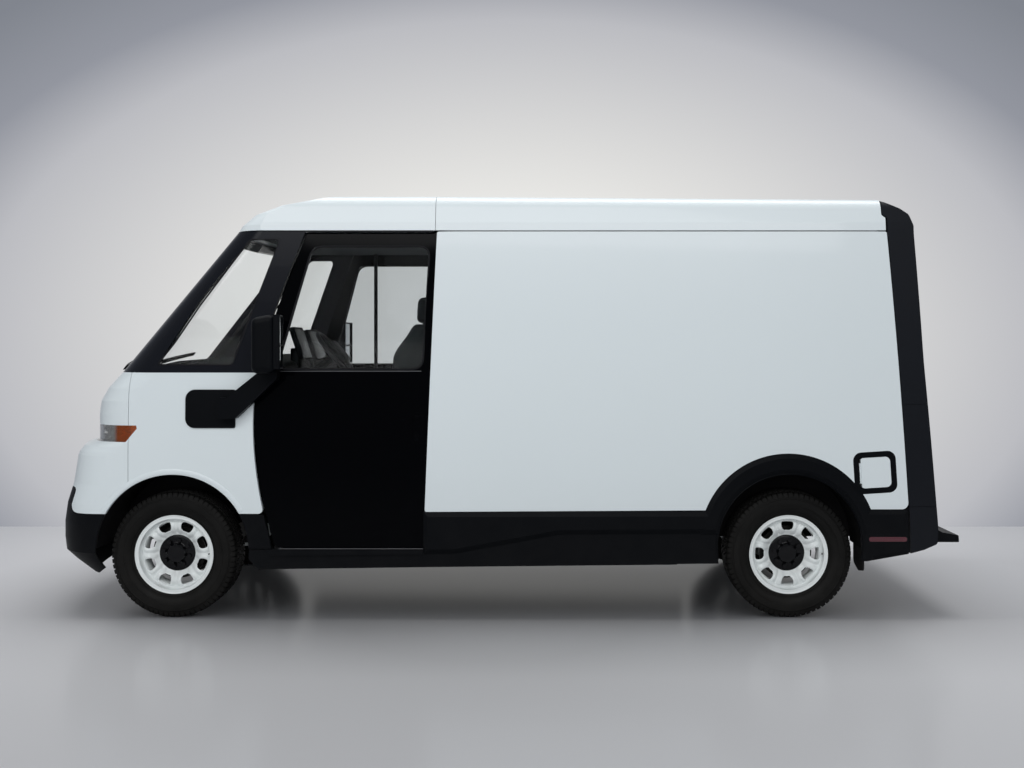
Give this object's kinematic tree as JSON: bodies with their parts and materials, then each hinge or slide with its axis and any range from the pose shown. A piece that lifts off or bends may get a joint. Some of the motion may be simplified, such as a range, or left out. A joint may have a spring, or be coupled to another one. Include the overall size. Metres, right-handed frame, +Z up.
{
  "type": "cargo van",
  "caption": "Box-sided electric cargo van with raked cab, sliding side doors, twin rear doors, step bumper and steel disc wheels.",
  "frame": {"origin": "on the road under the middle of the van's overall box", "axes": "+X rearwards along the van, +Y to the vehicle's right, +Z up"},
  "size_m": [5.7956, 2.66, 2.722],
  "materials": {
    "floor_sheet": "ribbed sheet",
    "liner_plastic": "grained",
    "chassis_steel": "black chassis paint",
    "chassis_iron": "rough casting",
    "pack_casing": "plain sheet",
    "drive_casting": "as cast",
    "white_paint": "gloss",
    "dark_cladding": "fine grain",
    "lamp_lens": "clear, amber at the side",
    "black_gloss": "high gloss",
    "tinted_glass": "tinted",
    "lining": "smooth",
    "interior_plastic": "grained",
    "seat_cloth": "woven",
    "tyre_rubber": "moulded",
    "white_wheel_steel": "gloss white",
    "lamp_red": "red lens",
    "flap_rubber": "moulded"
  },
  "bodies": {
    "van_body": {"deck": "floor_sheet", "wheelhouses": "liner_plastic", "frame_rails": "chassis_steel", "battery_pack": "pack_casing", "drive_unit": "drive_casting", "rear_axle": "chassis_steel", "front_suspension": "chassis_steel", "nose_panel": "white_paint", "fenders": "white_paint", "front_bumper": "dark_cladding", "headlamps": "lamp_lens", "cab_frame": "black_gloss", "cab_glass": "tinted_glass", "cab_roof": "white_paint", "cargo_roof": "white_paint", "side_panels": "white_paint", "inner_walls": "lining", "cladding": "dark_cladding", "rear_frame": "dark_cladding", "step_bumper": "dark_cladding", "dashboard": "interior_plastic", "steering_wheel": "interior_plastic", "seats": "seat_cloth", "mirrors": "dark_cladding", "charge_surround": "dark_cladding", "tail_lamps": "lamp_red", "mud_flaps": "flap_rubber", "wipers": "interior_plastic"},
    "side_door_left": {"door_left": "black_gloss", "door_glass_left": "tinted_glass"},
    "side_door_right": {"door_right": "black_gloss", "door_glass_right": "tinted_glass"},
    "rear_door_left": {"rear_door_left": "white_paint"},
    "rear_door_right": {"rear_door_right": "white_paint"},
    "charge_flap": {"charge_flap": "white_paint"},
    "knuckle_left": {"knuckle_left": "chassis_iron"},
    "knuckle_right": {"knuckle_right": "chassis_iron"},
    "front_wheel_left": {"tyre_front_left": "tyre_rubber", "wheel_front_left": "white_wheel_steel"},
    "front_wheel_right": {"tyre_front_right": "tyre_rubber", "wheel_front_right": "white_wheel_steel"},
    "rear_wheel_left": {"tyre_rear_left": "tyre_rubber", "wheel_rear_left": "white_wheel_steel"},
    "rear_wheel_right": {"tyre_rear_right": "tyre_rubber", "wheel_rear_right": "white_wheel_steel"}
  },
  "joints": [
    {"name": "slide_left", "type": "slide", "parent": "van_body", "child": "side_door_left", "axis": [1, 0, 0], "range_m": [0, 0.9]},
    {"name": "slide_right", "type": "slide", "parent": "van_body", "child": "side_door_right", "axis": [1, 0, 0], "range_m": [0, 0.9]},
    {"name": "rear_hinge_left", "type": "hinge", "parent": "van_body", "child": "rear_door_left", "pos_m": [2.65186, -0.894, 1.56], "axis": [0.0684, 0, -0.9977], "range_deg": [0, 100]},
    {"name": "rear_hinge_right", "type": "hinge", "parent": "van_body", "child": "rear_door_right", "pos_m": [2.65186, 0.894, 1.56], "axis": [-0.0684, 0, 0.9977], "range_deg": [0, 100]},
    {"name": "charge_hinge", "type": "hinge", "parent": "van_body", "child": "charge_flap", "pos_m": [2.25968, -1.034, 0.90232], "axis": [0.0628, 0, -0.998], "range_deg": [0, 105]},
    {"name": "steer_left", "type": "hinge", "parent": "van_body", "child": "knuckle_left", "pos_m": [-2.016, -0.822, 0.392], "axis": [0, 0, 1], "range_deg": [-32, 32]},
    {"name": "steer_right", "type": "hinge", "parent": "van_body", "child": "knuckle_right", "pos_m": [-2.016, 0.822, 0.392], "axis": [0, 0, 1], "range_deg": [-32, 32]},
    {"name": "spin_front_left", "type": "hinge", "parent": "knuckle_left", "child": "front_wheel_left", "pos_m": [-2.016, -0.8925, 0.392], "axis": [0, 1, 0], "continuous": true},
    {"name": "spin_front_right", "type": "hinge", "parent": "knuckle_right", "child": "front_wheel_right", "pos_m": [-2.016, 0.8925, 0.392], "axis": [0, 1, 0], "continuous": true},
    {"name": "spin_rear_left", "type": "hinge", "parent": "van_body", "child": "rear_wheel_left", "pos_m": [1.82, -0.8925, 0.392], "axis": [0, 1, 0], "continuous": true},
    {"name": "spin_rear_right", "type": "hinge", "parent": "van_body", "child": "rear_wheel_right", "pos_m": [1.82, 0.8925, 0.392], "axis": [0, 1, 0], "continuous": true}
  ],
  "couplings": [
    {"joint": "steer_right", "follows": "steer_left", "ratio": 1}
  ]
}
